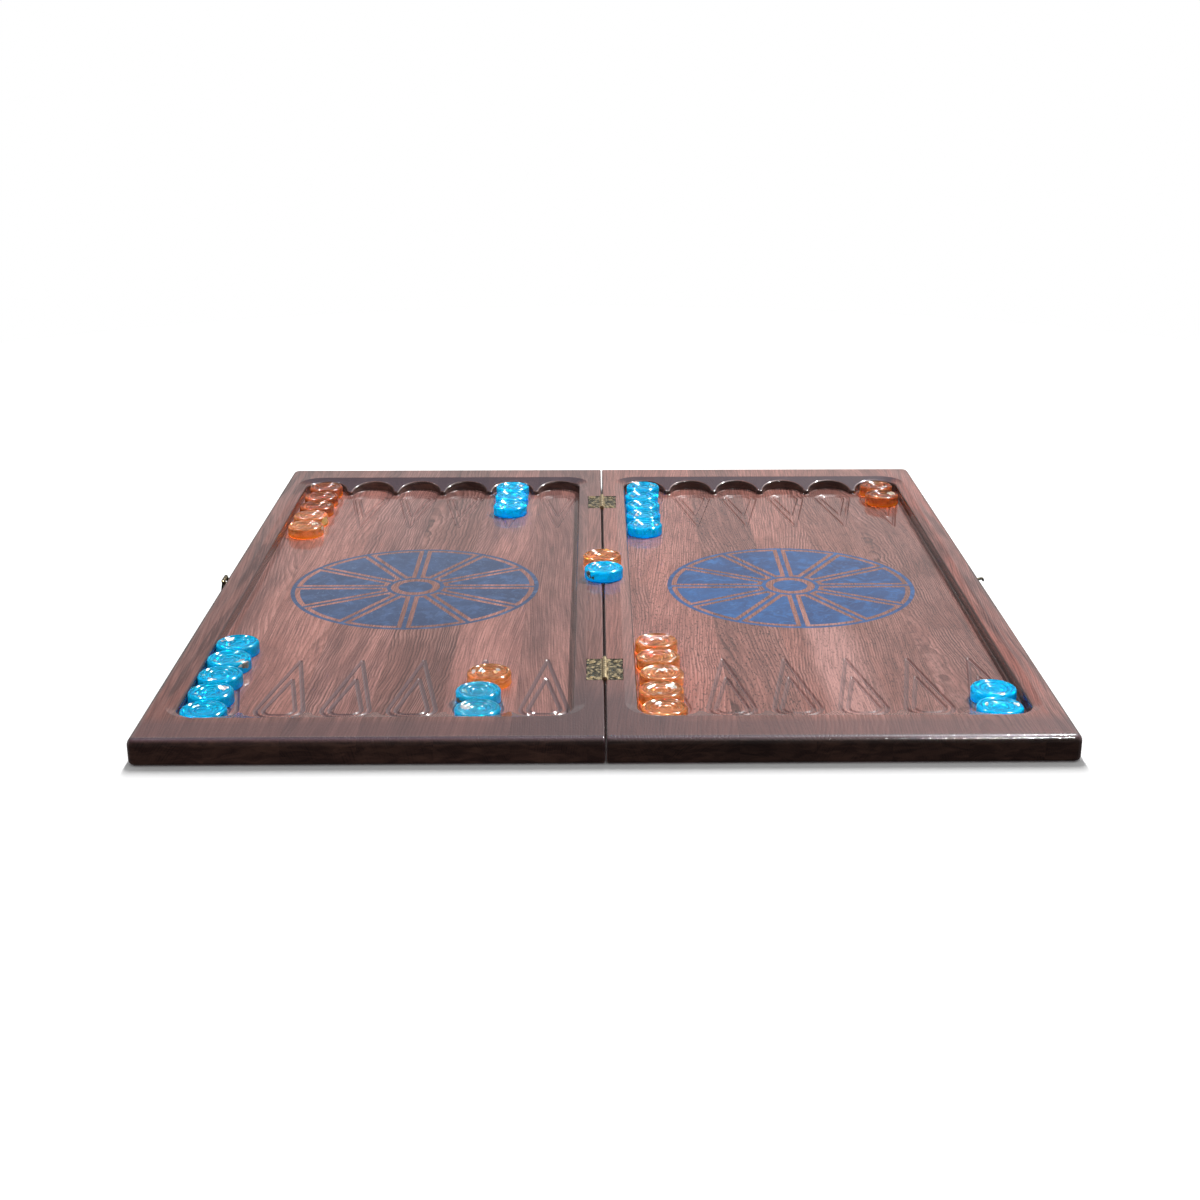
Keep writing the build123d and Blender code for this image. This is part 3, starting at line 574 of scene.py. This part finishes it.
def lathe(name, segments, seed):
    rng = random.Random(seed)
    lean = rng.uniform(0, 2 * math.pi)
    mesh = bpy.data.meshes.new(name)
    bm = bmesh.new()
    rings = []
    for r, h in PROFILE:
        r, h = r / 1000, h / 1000
        if r == 0:
            rings.append([bm.verts.new((0, 0, h))])
            continue
        ring = []
        for k in range(segments):
            a = 2 * math.pi * k / segments
            dent = 0.00004 * math.sin(2 * a + lean) + 0.00003 * math.sin(3 * a + 2 * lean)
            rr = r - (abs(dent) if r > 0.0140 else 0.0)
            hh = h + (0.00006 * math.sin(a + lean) - 0.00006 if h > 0.007 and r < 0.0128 else 0.0)
            ring.append(bm.verts.new((rr * math.cos(a), rr * math.sin(a), hh)))
        rings.append(ring)
    for a, b in zip(rings, rings[1:]):
        if len(a) == 1:
            for k in range(segments):
                bm.faces.new((a[0], b[(k + 1) % segments], b[k]))
        elif len(b) == 1:
            for k in range(segments):
                bm.faces.new((a[k], a[(k + 1) % segments], b[0]))
        else:
            for k in range(segments):
                j = (k + 1) % segments
                bm.faces.new((a[k], a[j], b[j], b[k]))
    bmesh.ops.recalc_face_normals(bm, faces=bm.faces)
    for f in bm.faces:
        f.smooth = True
    bm.to_mesh(mesh)
    bm.free()
    obj = bpy.data.objects.new(name, mesh)
    scene.collection.objects.link(obj)
    return obj


def flake(name, azimuth, arc, wide, tall, seed, mat):
    """An irregular chip of shell or moss that lies in the resin's skin, wide along the rim and tall across it, in mm."""
    rng = random.Random(seed)
    shift = Vector((rng.uniform(0, 50), rng.uniform(0, 50), 0))
    r0 = on_profile(arc)[0]
    bm = bmesh.new()

    def place(du, dv, proud):
        r, h, nr, nh = on_profile(arc + dv)
        a = math.radians(azimuth) + du / max(r0, 2.0)
        r, h = r + nr * proud, min(h + nh * proud, 9.5)
        return bm.verts.new((min(r, 15.4) * math.cos(a) / 1000, min(r, 15.4) * math.sin(a) / 1000, h / 1000))

    segs, rings = 26, 5
    middle = place(0, 0, 0.045)
    last = None
    for j in range(1, rings + 1):
        ring = []
        for k in range(segs):
            t = 2 * math.pi * k / segs
            edge = 1.0 + 0.55 * mnoise.noise(Vector((1.5 * math.cos(t), 1.5 * math.sin(t), 0)) + shift)
            edge += 0.28 * mnoise.noise(Vector((4.2 * math.cos(t), 4.2 * math.sin(t), 3)) + shift)
            f = j / rings * edge
            ring.append(place(f * wide / 2 * math.cos(t), f * tall / 2 * math.sin(t), 0.045 if j < rings else -0.03))
        for k in range(segs):
            if last is None:
                bm.faces.new((middle, ring[k], ring[(k + 1) % segs]))
            else:
                bm.faces.new((last[k], ring[k], ring[(k + 1) % segs], last[(k + 1) % segs]))
        last = ring
    for f in bm.faces:
        f.smooth = True
    mesh = bpy.data.meshes.new(name)
    bm.to_mesh(mesh)
    bm.free()
    obj = bpy.data.objects.new(name, mesh)
    scene.collection.objects.link(obj)
    obj.data.materials.append(mat)
    return obj


# chips: checker, azimuth in degrees, ("top", radius) or ("side", height) in mm, wide, tall, kind
CHIPS = [
    ("blue_08", 138, "top", 9.2, 7.5, 5.5, "shell"), ("blue_08", 168, "top", 11.5, 3.0, 2.0, "shell"),
    ("blue_08", 200, "top", 6.5, 2.0, 1.6, "mist"), ("blue_08", 226, "top", 7.4, 2.2, 1.5, "mist"), ("blue_08", 45, "top", 8.6, 1.6, 1.4, "mist"),
    ("blue_07", -38, "top", 12.0, 10.0, 4.0, "moss"), ("blue_07", -30, "side", 6.2, 9.0, 5.4, "moss"), ("blue_07", -48, "side", 6.9, 3.0, 2.0, "stone"),
    ("blue_07", -30, "top", 10.6, 2.6, 2.0, "shell"), ("blue_07", 215, "top", 10.2, 4.0, 2.0, "mist"),
    # painted highlight: blue_06's white shell chip at 248 degrees stands in for a highlight on its top
    ("blue_06", 248, "top", 9.8, 7.0, 2.4, "shell"), ("blue_06", 190, "top", 11.0, 2.4, 2.0, "mist"),
    ("blue_05", 42, "top", 9.6, 9.0, 5.0, "silver"), ("blue_05", 205, "top", 9.5, 2.6, 2.6, "shell"), ("blue_05", 238, "top", 10.8, 1.8, 1.6, "shell"),
    ("blue_04", 232, "side", 4.0, 8.0, 2.6, "olive"), ("blue_04", 130, "top", 8.0, 3.0, 2.0, "mist"),
    ("teal_02", 215, "side", 4.2, 8.0, 4.4, "moss"), ("teal_02", 190, "top", 9.0, 7.0, 4.0, "mist"),
    ("teal_01", 168, "top", 8.0, 7.5, 6.5, "shell"), ("teal_01", 150, "top", 11.6, 3.0, 2.0, "shell"),
    # painted highlight: amber_06's white shell chip at 150 degrees stands in for a glint
    ("amber_06", 150, "top", 6.0, 5.0, 5.5, "shell"), ("amber_06", 178, "top", 10.8, 7.5, 3.0, "umber"), ("amber_06", 40, "top", 7.4, 4.0, 2.6, "umber"), ("amber_06", 15, "top", 5.0, 6.0, 3.4, "gold"),
    # painted highlight: amber_13's cream chip at 205 degrees stands in for a highlight
    ("amber_13", 205, "top", 12.0, 9.0, 3.0, "cream"), ("amber_12", 330, "top", 12.4, 9.0, 2.6, "cream"),
    ("amber_12", 195, "top", 12.6, 3.0, 2.0, "cream"), ("amber_10", 38, "top", 9.4, 12.0, 5.6, "stone"), ("amber_10", 150, "top", 9.0, 5.0, 3.6, "umber"), ("amber_10", 255, "top", 5.0, 4.0, 3.0, "umber"),
    ("amber_11", 80, "top", 6.5, 7.0, 3.6, "stone"), ("amber_11", 25, "top", 11.0, 6.0, 2.6, "cream"), ("amber_09", 300, "top", 12.4, 7.0, 2.4, "cream"),
    ("amber_09", 120, "top", 7.8, 4.0, 2.6, "umber"),
    ("amber_14", -62, "side", 5.2, 12.0, 5.0, "yellow"), ("amber_14", 40, "top", 11.2, 4.0, 2.0, "cream"),
    ("blue_16", 218, "side", 6.0, 6.0, 5.6, "moss"), ("blue_16", 236, "side", 4.0, 3.4, 2.4, "moss"), ("blue_16", 205, "top", 12.3, 5.0, 2.2, "moss"), ("blue_16", 222, "side", 4.6, 1.6, 2.2, "mist"), ("blue_16", 140, "top", 10.6, 3.4, 1.6, "umber"),
    ("blue_01", 20, "top", 8.0, 7.0, 4.0, "shell"), ("blue_02", -40, "top", 8.5, 4.0, 2.6, "cream"), ("blue_03", 225, "top", 10.5, 6.0, 3.4, "olive"), ("blue_03", 215, "top", 8.4, 2.0, 2.0, "shell"),
    ("blue_09", 20, "top", 9.8, 8.0, 3.6, "mist"), ("blue_10", 200, "top", 9.0, 9.0, 3.0, "mist"), ("blue_11", 195, "top", 10.0, 8.0, 2.6, "mist"),
    # painted highlight: blue_13's white shell chip at -12 degrees stands in for a highlight
    ("blue_12", 190, "top", 6.0, 4.5, 3.6, "moss"), ("blue_12", 160, "top", 6.6, 2.2, 2.0, "shell"), ("blue_13", -12, "top", 10.6, 5.0, 4.0, "shell"), ("blue_13", 188, "top", 8.4, 6.0, 3.0, "mist"),
    ("blue_14", 8, "top", 11.6, 6.0, 3.4, "shell"), ("blue_14", 160, "top", 9.0, 6.0, 2.2, "shell"), ("blue_15", 262, "top", 11.6, 12.0, 2.4, "mist"), ("blue_15", 285, "top", 10.4, 6.0, 2.0, "shell"),
    ("amber_04", -28, "side", 5.4, 9.0, 6.6, "yellow"), ("amber_04", -30, "top", 12.6, 5.0, 2.0, "cream"), ("amber_04", 220, "top", 11.0, 4.0, 2.0, "umber"),
    ("amber_05", 38, "top", 8.8, 7.0, 6.0, "cream"), ("amber_05", -10, "side", 7.0, 6.0, 3.0, "cream"), ("amber_05", 330, "top", 12.0, 3.0, 2.0, "umber"),
    ("amber_03", 8, "top", 11.5, 5.0, 3.4, "stone"), ("amber_02", -24, "top", 12.4, 8.0, 3.0, "cream"), ("amber_01", 60, "top", 10.0, 4.0, 2.0, "umber"),
    ("amber_08", 20, "top", 9.6, 9.0, 5.6, "cream"), ("amber_07", 330, "top", 8.8, 6.0, 5.0, "stone"), ("amber_07", 300, "top", 6.0, 5.0, 3.0, "cream"), ("amber_08", 200, "top", 8.4, 3.0, 2.4, "umber"),
]

# painted shade: these blue checkers take the darker copy of the blue resin, where the fill lamp falls stronger
PAINTED_SHADE_BLUE = ("blue_04", "blue_05", "blue_06", "blue_07", "blue_08")
DARK_AMBER = ("amber_01", "amber_02", "amber_03", "amber_07", "amber_08")
checker_names = sorted(n for n in NODES if n.startswith("checker"))
for i, name in enumerate(checker_names):
    kind = name.split("_")[1]
    lo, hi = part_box(name)
    centre = Vector(((lo.x + hi.x) / 2, (lo.y + hi.y) / 2, lo.z))
    piece = lathe(name.replace("checker", "disc"), 96, 100 + i)
    piece.location = centre
    dress(piece, RESINS["umber" if name[8:] in DARK_AMBER else "blue_painted_shade" if name[8:] in PAINTED_SHADE_BLUE else kind])
    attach(piece, name)
    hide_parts(name)
    for j, (who, azimuth, where, at, wide, tall, sort) in enumerate(CHIPS):
        if "checker_" + who != name:
            continue
        arc = arc_of_top(at) if where == "top" else arc_of_side(at)
        bit = flake("chip_%s_%02d" % (who, j), azimuth, arc, wide, tall, 900 + j, CHIP_KINDS[sort])
        bit.location = centre
        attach(bit, name)


# ---------------------------------------------------------------- studio
def world():
    w = bpy.data.worlds.new("studio")
    w.use_nodes = True
    w.node_tree.nodes.clear()
    n = Net(w.node_tree)
    out = n.node("OutputWorld")
    dx, dy, dz = n.xyz(n.node("TexCoord").outputs["Generated"])
    path = n.node("LightPath")

    def background(color):
        bg = n.node("Background")
        n.put(bg.inputs["Color"], color)
        return bg

    def blend(fac, a, b):
        mix = n.node("MixShader")
        n.put(mix.inputs[0], fac)
        n.tree.links.new(a.outputs[0], mix.inputs[1])
        n.tree.links.new(b.outputs[0], mix.inputs[2])
        return mix

    toward = n.vmath("DOT_PRODUCT", n.node("TexCoord").outputs["Generated"], (0.154, 0.919, 0.362))
    lobe = n.remap(toward, 0.972, 0.999, 0.0, 0.12, True)
    left = n.vmath("DOT_PRODUCT", n.node("TexCoord").outputs["Generated"], (-0.170, 0.915, 0.366))
    lobe = n.math("ADD", lobe, n.remap(left, 0.965, 0.998, 0.0, 0.08, True))
    shine_col = n.ramp(n.remap(dz, -1.0, 1.0), [(0.0, 0.07), (0.42, 0.10), (0.48, 0.24), (0.53, 0.28), (0.58, 0.36), (0.63, 0.43), (0.66, 0.26), (0.70, 0.12), (0.76, 0.06), (1.0, 0.08)])
    rear = n.remap(dy, -0.45, 0.05, 0.20, 1.0, True)
    shine_col = n.mix(1.0, shine_col, n.vec(rear, rear, rear), "MULTIPLY")
    shine = background(n.mix(1.0, shine_col, n.vec(lobe, lobe, lobe), "ADD"))
    soft = background(n.ramp(n.remap(dz, -1.0, 1.0), [(0.0, 0.16), (0.48, 0.18), (0.56, 0.40), (1.0, 0.46)]))
    white = background((1.0, 1.0, 1.0))
    mixed = blend(path.outputs["Is Diffuse Ray"], shine, soft)
    mixed = blend(path.outputs["Is Camera Ray"], mixed, white)
    n.tree.links.new(mixed.outputs[0], out.inputs["Surface"])
    scene.world = w


def lamp(name, at, aim, power, size, size_y=None, diffuse=True, color=(1, 1, 1)):
    data = bpy.data.lights.new(name, "AREA")
    if size_y is None:
        data.shape = "DISK"
        data.size = size
    else:
        data.shape = "RECTANGLE"
        data.size = size
        data.size_y = size_y
    data.energy = power
    data.color = color
    obj = bpy.data.objects.new(name, data)
    obj.location = Vector(at)
    obj.rotation_euler = (Vector(aim) - Vector(at)).to_track_quat("-Z", "Y").to_euler()
    obj.visible_camera = False
    obj.visible_diffuse = diffuse
    obj.visible_transmission = diffuse
    scene.collection.objects.link(obj)
    return obj


world()
MIDDLE = Vector((0.0, 0.0, 0.0))
KEY = Vector((0.42, 0.35, 0.85)).normalized()
SECOND = Vector((-0.467, 0.293, 0.829)).normalized()
lamp("key", KEY * 3.2, MIDDLE, 118.0, 0.09)
lamp("second", SECOND * 3.2, MIDDLE, 28.0, 0.09)
sparks = [
    lamp("key_glint", KEY * 3.2, MIDDLE, 2300.0, 0.11, diffuse=False),
    lamp("second_glint", SECOND * 3.2, MIDDLE, 520.0, 0.11, diffuse=False),
]
back = lamp("floor_light", (0.0, 1.95, 2.75), MIDDLE, 152.0, 0.12, 2.4)
resin_fill = lamp("resin_fill", (-0.5, -1.5, 2.6), MIDDLE, 78.0, 1.2)
resin_fill.visible_glossy = False
rim_glint = lamp("rim_glint", KEY * 3.2, MIDDLE, 260.0, 0.09, diffuse=False)
lamp("edge_strip", (0.86, -1.10, 1.80), (0.27, -0.32, 0.0), 40.0, 0.16, 0.03, diffuse=False)

floor_mesh = bpy.data.meshes.new("floor")
ring_n = 96
verts = [(0.0, 0.0, 0.0)] + [(1.35 * math.cos(2 * math.pi * k / ring_n), 1.35 * math.sin(2 * math.pi * k / ring_n), 0.0) for k in range(ring_n)]
floor_mesh.from_pydata(verts, [], [(0, 1 + k, 1 + (k + 1) % ring_n) for k in range(ring_n)])
floor = bpy.data.objects.new("floor", floor_mesh)
scene.collection.objects.link(floor)
floor.location.z = -0.00005
floor.visible_diffuse = False
floor.visible_glossy = False
fmat, fn = material("pale_floor")
# a narrow flag that keeps light from falling through the gap between the halves; the camera doesn't see it
flag_mesh = bpy.data.meshes.new("gap_flag")
flag_mesh.from_pydata([(-0.0014, -0.3235, 0.0158), (0.0014, -0.3235, 0.0158), (0.0014, 0.3235, 0.0158), (-0.0014, 0.3235, 0.0158)], [], [(0, 1, 2, 3)])
flag = bpy.data.objects.new("gap_flag", flag_mesh)
scene.collection.objects.link(flag)
flag.visible_camera = False
flag.visible_diffuse = False
flag.visible_glossy = False
flag.visible_transmission = False
dress(flag, fmat)
fs = fn.bsdf(Base_Color=(0.95, 0.95, 0.95), Roughness=0.9)
fs.inputs["Specular IOR Level"].default_value = 0.0
fn.tree.links.new(fs.outputs[0], fn.out.inputs["Surface"])
dress(floor, fmat)


def link_light(light, objects, state):
    """Lights only these objects (INCLUDE), or everything but them (EXCLUDE)."""
    group = bpy.data.collections.new("linked_" + light.name)
    for obj in objects:
        group.objects.link(obj)
    light.light_linking.receiver_collection = group
    for entry in group.collection_objects:
        entry.light_linking.link_state = state


discs = [o for o in scene.objects if o.name.startswith(("disc_", "chip_"))]
for obj in [o for o in scene.objects if o.type == "LIGHT"]:
    if obj is back:
        link_light(obj, [floor], "INCLUDE")
    elif obj in sparks:
        link_light(obj, discs, "INCLUDE")
    elif obj is resin_fill:
        link_light(obj, [o for o in discs if o.name.startswith(("disc_blue", "disc_teal"))], "INCLUDE")
    elif obj is rim_glint:
        link_light(obj, discs + [floor], "EXCLUDE")
    else:
        link_light(obj, [floor], "EXCLUDE")

scene.view_settings.view_transform = "Standard"
scene.view_settings.look = "None"
scene.view_settings.exposure = 0.0
scene.cycles.use_denoising = True
scene.cycles.sample_clamp_indirect = 8.0
scene.cycles.max_bounces = 12
scene.cycles.transmission_bounces = 10
